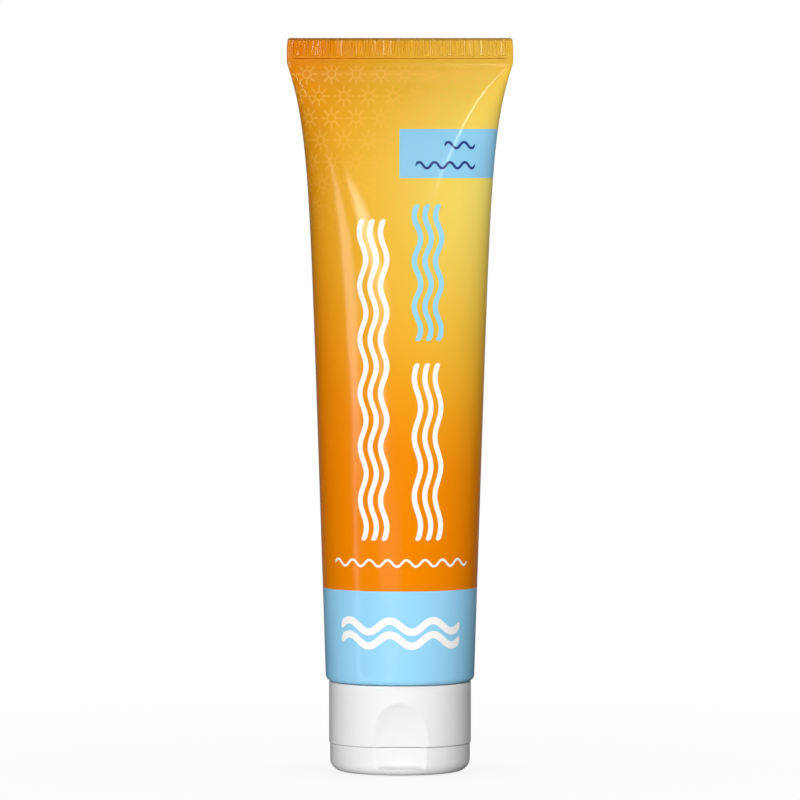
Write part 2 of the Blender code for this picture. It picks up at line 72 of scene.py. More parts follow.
# Sleeve
TUBE_RADIUS = 0.0175
SLEEVE_WALL = 0.00045
SLEEVE_END_RADIUS = 0.0013
SEAL_LENGTH = 0.0056
SEAL_THICKNESS = 0.0009
FLARE_LENGTH = 0.0130
FLARE_EASE = 0.0006
CREASE_EASE = 0.0015
PANEL_LENGTH = 0.0580
PANEL_POWER = 1.3
PANEL_DIP_SHARE = 0.25
PANEL_DIP_LENGTH = 0.0060
TAPER_SHARE = 0.52
SEAL_BASE = SLEEVE_TOP - SEAL_LENGTH

# End seal
GROOVE = SLEEVE_TOP - 0.0048
GROOVE_DEPTH = 0.00026
GROOVE_WIDTH = 0.00026
GROOVE_MARGIN = 0.0008
RIB_PITCH = (0.00036, 0.00080)
RIB_HEIGHT = (0.00009, 0.00019)
RIB_LEAN = 0.00007
RIB_EDGE = 0.00013
RIB_SIDE_MARGIN = 0.0009
RIB_DROPS = (0.00045, 0.0042)
RIB_ROW_BREAK = 0.0024
RIB_RUN_OUT = 0.00015
SEAL_CHAMFER = 0.00028
SEAL_FLARE = 0.00028

# Shoulder and neck
SHOULDER_SLOPE = math.radians(22)
SHOULDER_THICKNESS = 0.0013
SHOULDER_RIM_WALL = 0.0010
SHOULDER_RIM_HEIGHT = 0.0027
NECK_RADIUS = 0.0060
NECK_LENGTH = 0.0084
NECK_WALL = 0.0010
NECK_CHAMFER = 0.0003
WASHER_LAP = 0.0002
PIECE_GAP = 0.0003
NECK_ROOT = NECK_MOUTH + NECK_LENGTH
SHOULDER_RADIUS = TUBE_RADIUS - SLEEVE_END_RADIUS - PIECE_GAP

# Screw thread of the neck and the socket
THREAD_PITCH = 0.0025
THREAD_DEPTH = 0.00075
THREAD_ROOT = 0.0011
THREAD_CREST = 0.0005
THREAD_EDGE_SHARE = 0.9
THREAD_LEAD_TURN = math.radians(40)
NECK_THREAD_START, NECK_THREAD_TURNS = 0.0103, 2.3
SOCKET_THREAD_START, SOCKET_THREAD_TURNS = NECK_THREAD_START + THREAD_PITCH / 2, 1.6

# Lid
LID_HEIGHT = 0.00665
LID_WALL = 0.0011
LID_FILLET = 0.0029
PIN_TAPER = 0.0004
PIN_TIP_LENGTH = 0.0022
PIN_REACH = 0.0006
SEAL_RING_WALL = 0.0007
SEAL_RING_OVERLAP = 0.0008

# Cap base
SEAM_GAP = 0.0001
BASE_RISE = 0.00018
BASE_WALL = 0.0011
BASE_DECK = 0.0012
SOCKET_CLEARANCE = 0.0010
SOCKET_WALL = 0.0011
SOCKET_HEIGHT = 0.0090
WEB_COUNT = 8
WEB_THICKNESS = 0.0008
WEB_HEIGHT = 0.0070
SPOUT_RADIUS = 0.0035
SPOUT_CHAMFER = 0.0004
ORIFICE_RADIUS = 0.0016
COLLAR_CLEARANCE = 0.0006
COLLAR_WALL = 0.0009
COLLAR_LENGTH = 0.0016
SNAP_BEAD = 0.00025
# The snap bead's outline: rise and swell as shares of its size
SNAP_BEAD_OUTLINE = ((-1, 0), (-0.4, 0.8), (0, 1), (0.4, 0.8), (1, 0))
EDGE_RADIUS = 0.00018
BASE_TOP = DECKED_TOP + BASE_RISE
BASE_BOTTOM = LID_HEIGHT + SEAM_GAP
DECK_TOP = BASE_BOTTOM + BASE_DECK
SOCKET_RADIUS = NECK_RADIUS + SOCKET_CLEARANCE
PIN_RADIUS = ORIFICE_RADIUS - PIECE_GAP
LID_INNER_RADIUS = LID_RADIUS - LID_WALL
BASE_INNER_RADIUS = BASE_RADIUS - BASE_WALL
COLLAR_RADIUS = LID_INNER_RADIUS - COLLAR_CLEARANCE

# Thumb recess
THUMB_HALF_WIDTH = 0.0066
THUMB_DEPTH = 0.00215
THUMB_RISE = 0.0104
THUMB_SPRING_RISE = 0.0006
THUMB_LEDGE_HEIGHT = 0.00165
THUMB_LEDGE_FILLET = 0.0004
THUMB_OFFSET = 0.00225
THUMB_EDGE_EASE = 0.00014
LEDGE_EDGE = 0.00005
LEDGE_LIP = LEDGE_EDGE * 0.3
THUMB_TOP = BASE_BOTTOM + THUMB_RISE
THUMB_SPRING_HEIGHT = BASE_BOTTOM + THUMB_SPRING_RISE

# Hinge
HINGE_OFFSET = 0.0003
HINGE_DEPTH = BASE_RADIUS + HINGE_OFFSET
HINGE_HEIGHT = LID_HEIGHT + SEAM_GAP / 2
FILM_WIDTH = 0.0060
FILM_REACH = 0.0018
FILM_THICKNESS = 0.00025
FILM_OUTSIDE = HINGE_DEPTH - FILM_THICKNESS / 5
FILM_GROOVE = 0.00010
FILM_GROOVE_REACH = 0.0004
LAND_START = 0.0003
STRAP_SPACING = 0.0036
STRAP_PLACE = FILM_WIDTH / 2 + STRAP_SPACING
STRAP_WIDTH = 0.0024
STRAP_WAIST = 0.0016
STRAP_REACH = 0.0023
STRAP_THICKNESS = 0.0006
STRAP_ROOT = 0.0003

# Fineness of the meshes
MERGE_DISTANCE = 0.0000005
SLEEVE_COLUMNS = 320
SLEEVE_ROWS = 130
INNER_ROWS = 60
ROW_CROWDING = 1.7
ROUND_COLUMNS = 256
FRONT_COLUMNS = 150
FRONT_TURN = math.radians(32)
SMALL_COLUMNS = 96
CURVE_SAMPLES = 240
TURN_SHARE = 0.5
MAX_HALVINGS = 40
WALL_STEP = 0.00014
CORNER_STEPS = 10
EDGE_STEPS = 4
FOOT_STEPS = 28
INSIDE_STEPS = 12
PLAIN_ROWS = 5
LEDGE_ROWS = 24
SEAL_COLUMNS = 1100
THREAD_STEPS = 64
BEND_ROWS = 40
SHARP_ANGLE = math.radians(38)
SEED = 7

# Length of film that one unit of the print map spans
PRINT_SPAN = 0.1


# Meshes
def new_object(name, data):
    made = bpy.data.objects.new(name, data)
    bpy.context.scene.collection.objects.link(made)
    return made


def make_piece(name, points, faces, material, prints=None):
    """An object of points and faces, with the print map's places of the faces' corners."""
    mesh = bpy.data.meshes.new(name)
    mesh.from_pydata([tuple(p) for p in points], [], [tuple(f) for f in faces])
    if material:
        mesh.materials.append(material)
    if prints is not None:
        layer = mesh.uv_layers.new(name="print")
        layer.data.foreach_set("uv", np.asarray(prints, np.float32).ravel())
    mesh.shade_smooth()
    mesh.set_sharp_from_angle(angle=SHARP_ANGLE)
    mesh.validate()
    return new_object(name, mesh)


def grid_faces(rows, columns, loop_closed):
    """Quads over a stack of rings of points, whose last ring may meet its first."""
    lower = np.arange(rows if loop_closed else rows - 1)
    row, column = np.meshgrid(lower, np.arange(columns), indexing="ij")
    start, next_start = row * columns, (row + 1) % rows * columns
    after = (column + 1) % columns
    corners = [start + column, start + after, next_start + after, next_start + column]
    return np.stack(corners, axis=-1).reshape(-1, 4)


def stack_faces(rows, columns):
    """Quads between the rings of a stack, and a face across each of its ends."""
    faces = [list(face) for face in grid_faces(rows, columns, False)]
    faces.append(list(range(columns))[::-1])
    faces.append([(rows - 1) * columns + i for i in range(columns)])
    return faces


def close_up(piece):
    """Merges the points that coincide and drops the faces that this leaves without an area."""
    bm = bmesh.new()
    bm.from_mesh(piece.data)
    bmesh.ops.remove_doubles(bm, verts=bm.verts, dist=MERGE_DISTANCE)
    bmesh.ops.dissolve_degenerate(bm, edges=bm.edges, dist=MERGE_DISTANCE)
    bmesh.ops.recalc_face_normals(bm, faces=bm.faces)
    bm.to_mesh(piece.data)
    bm.free()
    piece.data.shade_smooth()
    piece.data.set_sharp_from_angle(angle=SHARP_ANGLE)
    return piece


def even_shading(piece):
    """Lets the large faces set the shading."""
    piece.modifiers.new("weighted_normals", "WEIGHTED_NORMAL").keep_sharp = True
    return piece


def cut(piece, tools):
    """Cuts closed tools out of a piece and keeps the result as its mesh."""
    for tool in tools:
        modifier = piece.modifiers.new("cut", "BOOLEAN")
        modifier.operation = "DIFFERENCE"
        modifier.solver = "EXACT"
        modifier.object = tool
    bpy.context.view_layer.update()
    evaluated = piece.evaluated_get(bpy.context.evaluated_depsgraph_get())
    whole = piece.data
    piece.data = bpy.data.meshes.new_from_object(evaluated)
    piece.data.name = piece.name
    piece.modifiers.clear()
    bpy.data.meshes.remove(whole)
    for tool in tools:
        bpy.data.objects.remove(tool, do_unlink=True)
    piece.data.set_sharp_from_angle(angle=SHARP_ANGLE)
    return piece


def arc(across, up, radius, start, end, steps=CORNER_STEPS):
    """Profile points on a round corner, from one angle to another in degrees."""
    angles = np.radians(np.linspace(start, end, steps + 1))
    return [(across + radius * math.cos(a), up + radius * math.sin(a)) for a in angles]


def even_turns(columns):
    return np.arange(columns) * math.tau / columns


def front_turns():
    """Turns about the axis from the front, set closer across the thumb recess."""
    front = np.linspace(-FRONT_TURN, FRONT_TURN, FRONT_COLUMNS)
    rest = np.linspace(FRONT_TURN, math.tau - FRONT_TURN, ROUND_COLUMNS)
    return np.concatenate([front, rest[1:-1]])


def turned(name, profile, turns, material):
    """Turns a profile of (radius, height) points about the Z axis.

    A radius may be given for each turn. The profile closes unless it starts on the axis.
    """
    radii = np.array([np.broadcast_to(radius, turns.shape) for radius, _ in profile])
    heights = np.array([np.full(len(turns), height) for _, height in profile])
    points = np.stack([radii * np.sin(turns), -radii * np.cos(turns), heights], axis=-1)
    faces = grid_faces(*radii.shape, radii[0, 0] > 0)
    return close_up(make_piece(name, points.reshape(-1, 3), faces, material))


def skinned(name, rings, material):
    """Skins a stack of rings of points and closes both ends."""
    rings = np.asarray(rings)
    faces = stack_faces(*rings.shape[:2])
    return close_up(make_piece(name, rings.reshape(-1, 3), faces, material))


def chamfered(west, east, south, north, edge):
    """Points round a rectangle whose corners are cut."""
    right = [(east, south + edge), (east, north - edge)]
    left = [(west, north - edge), (west, south + edge)]
    top = [(east - edge, north), (west + edge, north)]
    return [(west + edge, south), (east - edge, south)] + right + top + left


def block(name, low, high, place, edge, material):
    """A box with chamfered edges, moved by a matrix."""
    rings = []
    levels = (low[2], low[2] + edge, high[2] - edge, high[2])
    for height, inset in zip(levels, (edge, 0, 0, edge)):
        west, east = low[0] + inset, high[0] - inset
        outline = chamfered(west, east, low[1] + inset, high[1] - inset, edge)
        rings.append([place @ Vector((x, y, height)) for x, y in outline])
    return skinned(name, rings, material)


# Sections of the sleeve
def sleeve_half_width(drop):
    """Half the sleeve's width, at a drop below the end seal."""
    reach = SEAL_BASE - SLEEVE_END
    flare, floor = (math.exp(-d * d / (d + FLARE_EASE) / FLARE_LENGTH) for d in (drop, reach))
    share = TAPER_SHARE * (1 - drop / reach)
    share += (1 - TAPER_SHARE) * (flare - floor) / (1 - floor)
    return TUBE_RADIUS + (SEAL_WIDTH / 2 - TUBE_RADIUS) * share


def panel_half_width(drop):
    """Half the flat triangular panel that the press leaves under the end seal."""
    share = (1 - PANEL_DIP_SHARE) * max(0, 1 - drop / PANEL_LENGTH) ** PANEL_POWER
    share += PANEL_DIP_SHARE * math.exp(-drop / PANEL_DIP_LENGTH)
    return min(SEAL_WIDTH / 2 * share, sleeve_half_width(drop) - 2 * SLEEVE_WALL)


def ellipse_girth(a, b):
    return math.pi * (3 * (a + b) - math.sqrt((3 * a + b) * (a + 3 * b)))


def film_girth(drop):
    """The round tube's girth, which the press draws in a little towards the seal."""
    seal = 2 * SEAL_WIDTH + (math.pi - 2) * SEAL_THICKNESS
    return seal + (math.tau * TUBE_RADIUS - seal) * (1 - math.exp(-drop / FLARE_LENGTH))


def sleeve_half_depth(drop):
    """Half the sleeve's depth, which takes up the girth that the width leaves.

    It lags behind a little, so that the crease under the seal is soft.
    """
    drop = drop * drop / (drop + CREASE_EASE)
    flat = panel_half_width(drop)
    end = sleeve_half_width(drop) - flat
    girth = film_girth(drop)
    low, high = 0, 2 * TUBE_RADIUS
    for _ in range(MAX_HALVINGS):
        middle = (low + high) / 2
        if 4 * flat + ellipse_girth(end, middle) < girth:
            low = middle
        else:
            high = middle
    return (low + high) / 2


def section(half_width, half_depth, flat, height):
    """A ring of points from the back round by +X: straight panels joined by half ellipses."""
    end = half_width - flat
    turn = np.linspace(0, math.pi / 2, CURVE_SAMPLES)
    x = np.concatenate([[0], flat + end * np.sin(turn)])
    y = np.concatenate([[half_depth], half_depth * np.cos(turn)])
    run = np.concatenate([[0], np.cumsum(np.hypot(np.diff(x), np.diff(y)))])
    turned_share = np.concatenate([[0], turn]) / turn[-1]
    progress = (1 - TURN_SHARE) * run / run[-1] + TURN_SHARE * turned_share
    stations = np.linspace(0, 1, SLEEVE_COLUMNS // 4 + 1)
    quarter = np.column_stack([np.interp(stations, progress, way) for way in (x, y)])
    half = np.concatenate([quarter, quarter[-2::-1] * (1, -1)])
    ring = np.concatenate([half, half[-2:0:-1] * (-1, 1)])
    return np.column_stack([ring, np.full(len(ring), height)])


def sleeve_section(drop, inset):
    half_width, half_depth = sleeve_half_width(drop) - inset, sleeve_half_depth(drop) - inset
    return section(half_width, half_depth, panel_half_width(drop), SEAL_BASE - drop)


def film_piece(name, rings, material):
    """Skins a stack of rings of film, with its print map.

    The map's first coordinate is the way along the film from the middle of the front, and its
    second the height.
    """
    rings = np.asarray(rings)
    closed = np.concatenate([rings, rings[:, :1]], axis=1)
    steps = np.linalg.norm(np.diff(closed[..., :2], axis=1), axis=-1)
    run = np.concatenate([np.zeros((len(rings), 1)), np.cumsum(steps, axis=1)], axis=1)
    place = np.stack([run[:, -1:] / 2 - run, closed[..., 2]], axis=-1)
    corners = [place[:-1, :-1], place[:-1, 1:], place[1:, 1:], place[1:, :-1]]
    sides = np.stack(corners, axis=2).reshape(-1, 2)
    ends = np.concatenate([rings[0, ::-1], rings[-1]])[:, [0, 2]]
    prints = np.concatenate([sides, ends]) / PRINT_SPAN
    return make_piece(name, rings.reshape(-1, 3), stack_faces(*rings.shape[:2]), material, prints)


def make_sleeve(material):
    """The sleeve of film, from its turned-in lower lip to the groove under the seal's ribs."""
    reach = SEAL_BASE - SLEEVE_END - SLEEVE_END_RADIUS
    counts = (INNER_ROWS, SLEEVE_ROWS)
    inner, outer = (reach * (np.arange(1, n + 1) / n) ** ROW_CROWDING for n in counts)
    centre = TUBE_RADIUS - SLEEVE_END_RADIUS
    height = SLEEVE_END + SLEEVE_END_RADIUS
    lip = arc(centre, height, SLEEVE_END_RADIUS - SLEEVE_WALL, 0, -90)[1:]
    lip += arc(centre, height, SLEEVE_END_RADIUS, -90, 0)[:-1]
    rings = [sleeve_section(drop, SLEEVE_WALL) for drop in inner]
    rings += [section(radius, radius, 0, height) for radius, height in lip]
    rings += [sleeve_section(drop, 0) for drop in outer[::-1]]
    half = SEAL_THICKNESS / 2
    levels = np.linspace(SEAL_BASE, GROOVE - GROOVE_WIDTH / 2, CORNER_STEPS)
    rings += [seal_section(level, half) for level in levels]
    rings.append(seal_section(GROOVE, half - GROOVE_DEPTH))
    return film_piece("tube_film", rings, material)


# End seal
def seal_half_width(height):
    """Half the seal's width, which spreads a little at its middle."""
    rise = (height - SEAL_BASE) / (SLEEVE_TOP - SEAL_BASE)
    return SEAL_WIDTH / 2 - SEAL_FLARE * max(0, 2 * rise - 1) ** 2


def seal_section(height, half_thickness):
    half_width = seal_half_width(height)
    return section(half_width, half_thickness, half_width - SEAL_THICKNESS / 2, height)


def rib_crests(across, chance):
    """The heights of the upper and the lower row of ribs, at places across the seal.

    The ribs are flat, of uneven widths, and each leans a little to one side.
    """
    reach = SEAL_WIDTH / 2 - RIB_SIDE_MARGIN
    ends = np.cumsum(chance.uniform(*RIB_PITCH, int(2 * reach / RIB_PITCH[0]))) - reach
    ends = np.concatenate([[-reach], ends[ends < reach]])
    rib = np.clip(np.searchsorted(ends, across) - 1, 0, len(ends) - 2)
    left, right = ends[rib], ends[rib + 1]
    inside = np.minimum(across - left, right - across)
    share = 2 * (across - left) / (right - left) - 1
    lean = chance.uniform(-RIB_LEAN, RIB_LEAN, len(ends))[rib]
    crests = []
    for _ in ("upper", "lower"):
        height = chance.uniform(*RIB_HEIGHT, len(ends))[rib] + lean * share
        crests.append(height * np.clip(inside / RIB_EDGE, 0, 1))
    return crests


def seal_levels():
    """Heights of the seal's rings, with whether each lies in the upper row, and on its ribs."""
    high, low = (SLEEVE_TOP - drop for drop in RIB_DROPS)
    row_break = SLEEVE_TOP - RIB_ROW_BREAK
    levels = [(GROOVE + GROOVE_WIDTH * s, 0, 0) for s in (-0.5, 0, 0.5)]
    levels += [(low, 0, 0), (low + RIB_RUN_OUT, 0, 1), (row_break - RIB_RUN_OUT, 0, 1)]
    levels += [(row_break + RIB_RUN_OUT, 1, 1), (high - RIB_RUN_OUT, 1, 1), (high, 1, 0)]
    return levels + [(SLEEVE_TOP - SEAL_CHAMFER, 1, 0), (SLEEVE_TOP, 1, 0)]


def make_seal(material):
    """The pressed end of the sleeve, with two rows of upright ribs across both faces."""
    chance = np.random.default_rng(SEED)
    half = SEAL_THICKNESS / 2
    flat = SEAL_WIDTH / 2 - half
    across = np.linspace(-flat, flat, SEAL_COLUMNS)
    front, back = rib_crests(across, chance), rib_crests(across, chance)
    in_groove = np.clip((flat - np.abs(across)) / GROOVE_MARGIN - 1, 0, 1)
    fold = np.linspace(0, math.pi, CORNER_STEPS + 2)[1:-1]
    middle = SEAL_COLUMNS // 2
    rings = []
    for level, upper, ribbed in seal_levels():
        chamfer = SEAL_CHAMFER if level == SLEEVE_TOP else 0
        pressed = GROOVE_DEPTH * in_groove if level < GROOVE + GROOVE_WIDTH / 4 else 0
        level_face = half - chamfer - pressed
        behind, ahead = (level_face + ribbed * face[1 - upper] for face in (back, front))
        widen = (seal_half_width(level) - chamfer / 2) / (SEAL_WIDTH / 2)
        x = across * widen
        end_x = flat * widen + (half - chamfer) * np.sin(fold)
        end_y = (half - chamfer) * np.cos(fold)
        ways = np.concatenate([x[middle:], end_x, x[::-1], -end_x[::-1], x[:middle]])
        depths = [behind[middle:], end_y, -ahead[::-1], end_y[::-1], behind[:middle]]
        rings.append(np.column_stack([ways, np.concatenate(depths), np.full(len(ways), level)]))
    return film_piece("end_seal", rings, material)


# Shoulder, neck and threads
def shoulder_height(radius):
    return NECK_ROOT + (radius - NECK_RADIUS) * math.tan(SHOULDER_SLOPE)


def make_shoulder(material):
    rim_gap = SLEEVE_WALL + PIECE_GAP
    outer_rim = TUBE_RADIUS - rim_gap
    rim_top = SLEEVE_END + SHOULDER_RIM_HEIGHT
    inner_rim = outer_rim - SHOULDER_RIM_WALL
    bore = NECK_RADIUS - NECK_WALL
    corner = TUBE_RADIUS - SLEEVE_END_RADIUS
    root = NECK_CHAMFER * 2
    profile = [(inner_rim, rim_top), (outer_rim, rim_top)]
    profile += arc(corner, SLEEVE_END + SLEEVE_END_RADIUS, SLEEVE_END_RADIUS - rim_gap, 0, -90)
    profile.append((SHOULDER_RADIUS, SLEEVE_END + rim_gap))
    profile += [(r, shoulder_height(r)) for r in (SHOULDER_RADIUS, NECK_RADIUS + root)]
    profile += [(NECK_RADIUS + root / 3, NECK_ROOT - root / 6), (NECK_RADIUS, NECK_ROOT - root)]
    profile += arc(NECK_RADIUS - NECK_CHAMFER, NECK_MOUTH + NECK_CHAMFER, NECK_CHAMFER, 0, -90)
    profile.append((bore, NECK_MOUTH))
    profile += [(r, shoulder_height(r) + SHOULDER_THICKNESS) for r in (bore, inner_rim)]
    turns = even_turns(ROUND_COLUMNS)
    return even_shading(turned("shoulder_and_neck", profile, turns, material))


def make_thread(name, radius, depth, height, turns, material):
    """A ridge that climbs right-handed round a wall, outwards where its depth is above zero.

    It grows out of the wall at either end.
    """
    rings = []
    whole = math.tau * turns
    buried = radius - math.copysign(EDGE_RADIUS, depth)
    near, far = THREAD_CREST / 2 - EDGE_RADIUS / 3, THREAD_CREST / 2 + EDGE_RADIUS / 3
    for turn in np.linspace(0, whole, int(THREAD_STEPS * turns)):
        lead = min(1, turn / THREAD_LEAD_TURN, (whole - turn) / THREAD_LEAD_TURN)
        rise = depth * math.sin(max(lead, 0) * math.pi / 2)
        crest, shoulder = radius + rise, radius + rise * THREAD_EDGE_SHARE
        climb = height + THREAD_PITCH * turn / math.tau
        profile = [(buried, -THREAD_ROOT / 2), (shoulder, -far), (crest, -near)]
        profile += [(crest, near), (shoulder, far), (buried, THREAD_ROOT / 2)]
        rings.append([(r * math.cos(turn), r * math.sin(turn), climb + z) for r, z in profile])
    return skinned(name, rings, material)


def make_washer(material):
    """A ring of foam, its bore a little narrower than the neck's."""
    edge = EDGE_RADIUS
    inner, outer = NECK_RADIUS - NECK_WALL - WASHER_LAP + edge, WASHER_RADIUS - edge
    low, high = WASHER_BOTTOM + edge, WASHER_TOP - edge
    profile = []
    for r, z, start in (outer, low, -90), (outer, high, 0), (inner, high, 90), (inner, low, 180):
        profile += arc(r, z, edge, start, start + 90, EDGE_STEPS)
    return turned("foam_washer", profile, even_turns(SMALL_COLUMNS), material)


# Thumb recess
def recess_radius(height, turns):
    """How far from the axis the thumb recess's surface lies, at a height and at turns."""
    centre = BASE_RADIUS + THUMB_OFFSET
    reach = THUMB_OFFSET + THUMB_DEPTH
    edge = centre - math.sqrt(BASE_RADIUS**2 - THUMB_HALF_WIDTH**2)
    half_width = THUMB_HALF_WIDTH / math.sqrt(1 - (edge / reach) ** 2)
    rise = (THUMB_TOP - THUMB_SPRING_HEIGHT) / math.sqrt(1 - (THUMB_OFFSET / reach) ** 2)
    over = max(0, height - THUMB_SPRING_HEIGHT) / rise
    far = np.full(len(turns), 2 * centre)
    if over >= 1:
        return far
    shrink = math.sqrt(1 - over * over)
    a = half_width * shrink
    b = reach * shrink
    cosine = np.cos(turns)
    square = (np.sin(turns) / a) ** 2 + (cosine / b) ** 2
    half_linear = cosine * centre / b**2
    inside = half_linear**2 - square * ((centre / b) ** 2 - 1)
    meets = (inside > 0) & (cosine > 0)
    near = (half_linear - np.sqrt(np.where(meets, inside, 0))) / square
    return np.where(meets, near, far)


def smaller(first, second, ease):
    """The smaller of two radii, with a rounded corner where they cross."""
    overlap = np.maximum(ease - np.abs(first - second), 0)
    return np.minimum(first, second) - overlap**2 / (4 * ease)


def follow(radius, height, turns, inset=0):
    """A wall's radii at the turns, where it keeps an inset from the recess's surface."""
    return smaller(radius, recess_radius(height, turns) - inset, THUMB_EDGE_EASE)


def levels_between(low, high):
    return np.linspace(low, high, max(2, int(round((high - low) / WALL_STEP))))


def wall_ring(inner, outer, root, top):
    """Profile points of a ring that stands up, from outside to inside."""
    edge = EDGE_RADIUS
    outside = [(outer, root), (outer, top - edge), (outer - edge, top)]
    return outside + [(inner + edge, top), (inner, top - edge), (inner, root)]


# Cap base
def make_base(material):
    edge = EDGE_RADIUS
    outer = BASE_RADIUS
    arch_top = THUMB_TOP + THUMB_EDGE_EASE * 2
    spout = [(ORIFICE_RADIUS, SPOUT_END + edge), (ORIFICE_RADIUS + edge, SPOUT_END)]
    spout += arc(SPOUT_RADIUS - SPOUT_CHAMFER, SPOUT_END + SPOUT_CHAMFER, SPOUT_CHAMFER, -90, 0)
    spout += [(SPOUT_RADIUS, BASE_BOTTOM), (outer - THUMB_DEPTH - BASE_WALL, BASE_BOTTOM)]
    wall = arc(outer - edge, BASE_BOTTOM + edge, edge, -90, 0, EDGE_STEPS)
    wall += [(outer, z) for z in levels_between(BASE_BOTTOM + 2 * edge, arch_top)]
    wall += [(outer, z) for z in np.linspace(arch_top, BASE_TOP - edge, PLAIN_ROWS)[1:]]
    wall += arc(outer - edge, BASE_TOP - edge, edge, 0, 90, EDGE_STEPS)[1:]
    inside = [BASE_TOP, *levels_between(DECK_TOP, arch_top)[::-1]]
    rim = DECK_TOP + SOCKET_HEIGHT
    socket = wall_ring(SOCKET_RADIUS, SOCKET_RADIUS + SOCKET_WALL, DECK_TOP, rim)
    socket += [(ORIFICE_RADIUS + edge, DECK_TOP), (ORIFICE_RADIUS, DECK_TOP - edge)]
    turns = front_turns()
    profile = spout + [(follow(outer, z, turns) - (outer - r), z) for r, z in wall]
    profile += [(follow(BASE_INNER_RADIUS, z, turns, BASE_WALL), z) for z in inside] + socket
    base = turned("cap_shell", profile, turns, material)
    return even_shading(cut(base, strap_windows("base")))


def make_collar(material):
    """The ring under the deck that the lid snaps over, open at the thumb recess."""
    end = BASE_BOTTOM - COLLAR_LENGTH
    bead = end + COLLAR_LENGTH / 2
    inner = COLLAR_RADIUS - COLLAR_WALL
    edge = EDGE_RADIUS / 2
    top = BASE_BOTTOM + EDGE_RADIUS
    profile = [(inner + edge, end), (COLLAR_RADIUS - edge, end), (COLLAR_RADIUS, end + edge)]
    for rise, swell in SNAP_BEAD_OUTLINE:
        profile.append((COLLAR_RADIUS + SNAP_BEAD * swell, bead + SNAP_BEAD * rise))
    profile += [(COLLAR_RADIUS, top), (inner, top), (inner, end + edge)]
    turns = front_turns()
    ahead = turns[np.abs(turns) < math.pi / 2]
    clear = recess_radius(end, ahead) - LID_WALL - PIECE_GAP
    open_turn = np.max(np.abs(ahead[clear < COLLAR_RADIUS + SNAP_BEAD]))
    sweep = np.linspace(open_turn, math.tau - open_turn, ROUND_COLUMNS)
    rings = [[(r * math.sin(a), -r * math.cos(a), z) for r, z in profile] for a in sweep]
    return skinned("snap_collar", rings, material)


def make_webs(material):
    """Upright webs between the socket and the outer wall."""
    low = (SOCKET_RADIUS + SOCKET_WALL / 2, -WEB_THICKNESS / 2, DECK_TOP - BASE_DECK / 2)
    high = (BASE_RADIUS - BASE_WALL / 2, WEB_THICKNESS / 2, DECK_TOP + WEB_HEIGHT)
    made = []
    for i in range(WEB_COUNT):
        turn = Matrix.Rotation(math.tau * (i + 0.5) / WEB_COUNT, 4, "Z")
        made.append(block(f"web_{i + 1}", low, high, turn, EDGE_RADIUS / 2, material))
    return made


# Lid
def ledge_fillet(height):
    """How far the recess's surface comes forward, just above the ledge at its foot."""
    fillet = THUMB_LEDGE_FILLET
    rise = min(height - THUMB_LEDGE_HEIGHT, fillet)
    return fillet - math.sqrt(fillet**2 - (fillet - rise) ** 2)


def make_lid(material):
    edge = EDGE_RADIUS
    centre = LID_RADIUS - LID_FILLET
    ledge = THUMB_LEDGE_HEIGHT
    turns = front_turns()

    def foot_radius(height):
        return centre + math.sqrt(LID_FILLET**2 - (LID_FILLET - height) ** 2)

    foot = arc(centre, LID_FILLET, LID_FILLET, -90, 0, FOOT_STEPS)
    rim = foot_radius(ledge)
    pocket = recess_radius(ledge, turns) + ledge_fillet(ledge)
    profile = [(0, 0), (centre / 2, 0)] + [(r, z) for r, z in foot if z < ledge - LEDGE_EDGE]
    lip = np.where(pocket < rim, rim - LEDGE_LIP, rim)
    profile += [(rim, ledge - LEDGE_EDGE), (lip, ledge - LEDGE_LIP)]
    profile.append((np.clip(pocket, rim - LEDGE_EDGE, rim), ledge))
    profile.append((smaller(rim, pocket, LEDGE_EDGE), ledge))
    outer = [(foot_radius(z), z) for z in np.linspace(ledge, LID_FILLET, LEDGE_ROWS)[1:]]
    outer += [(LID_RADIUS, z) for z in levels_between(LID_FILLET, LID_HEIGHT - edge)[1:]]
    profile += [(follow(r, z, turns, -ledge_fillet(z)), z) for r, z in outer]
    top_edge = arc(0, LID_HEIGHT - edge, edge, 0, 90, EDGE_STEPS)[1:]
    profile += [(follow(LID_RADIUS, z, turns) - (edge - r), z) for r, z in top_edge]

    chamfer = edge / 2
    top = follow(LID_INNER_RADIUS + chamfer, LID_HEIGHT, turns, LID_WALL - chamfer)
    profile.append((top, LID_HEIGHT))
    inner_levels = levels_between(LID_FILLET, LID_HEIGHT - chamfer)[::-1]
    inner = [(LID_INNER_RADIUS, z) for z in inner_levels]
    inner += arc(centre, LID_FILLET, LID_FILLET - LID_WALL, 0, -90, INSIDE_STEPS)[1:]
    for radius, height in inner:
        if height > ledge - LID_WALL / 2:
            radius = follow(radius, height, turns, LID_WALL)
        profile.append((radius, height))
    ring = SPOUT_RADIUS + PIECE_GAP
    profile += wall_ring(ring, ring + SEAL_RING_WALL, LID_WALL, SPOUT_END + SEAL_RING_OVERLAP)
    pin_top = BASE_BOTTOM + PIN_REACH
    profile += [(PIN_RADIUS, LID_WALL), (PIN_RADIUS, pin_top - PIN_TIP_LENGTH)]
    pin_tip = PIN_RADIUS - PIN_TAPER
    profile += [(pin_tip, pin_top - edge), (pin_tip - edge, pin_top), (0, pin_top)]
    lid = turned("lid_shell", profile, turns, material)
    return even_shading(cut(lid, strap_windows("lid")))


# Hinge
def strap_turns():
    angle = math.asin(STRAP_PLACE / BASE_RADIUS)
    return [("left", Matrix.Rotation(angle, 4, "Z")), ("right", Matrix.Rotation(-angle, 4, "Z"))]


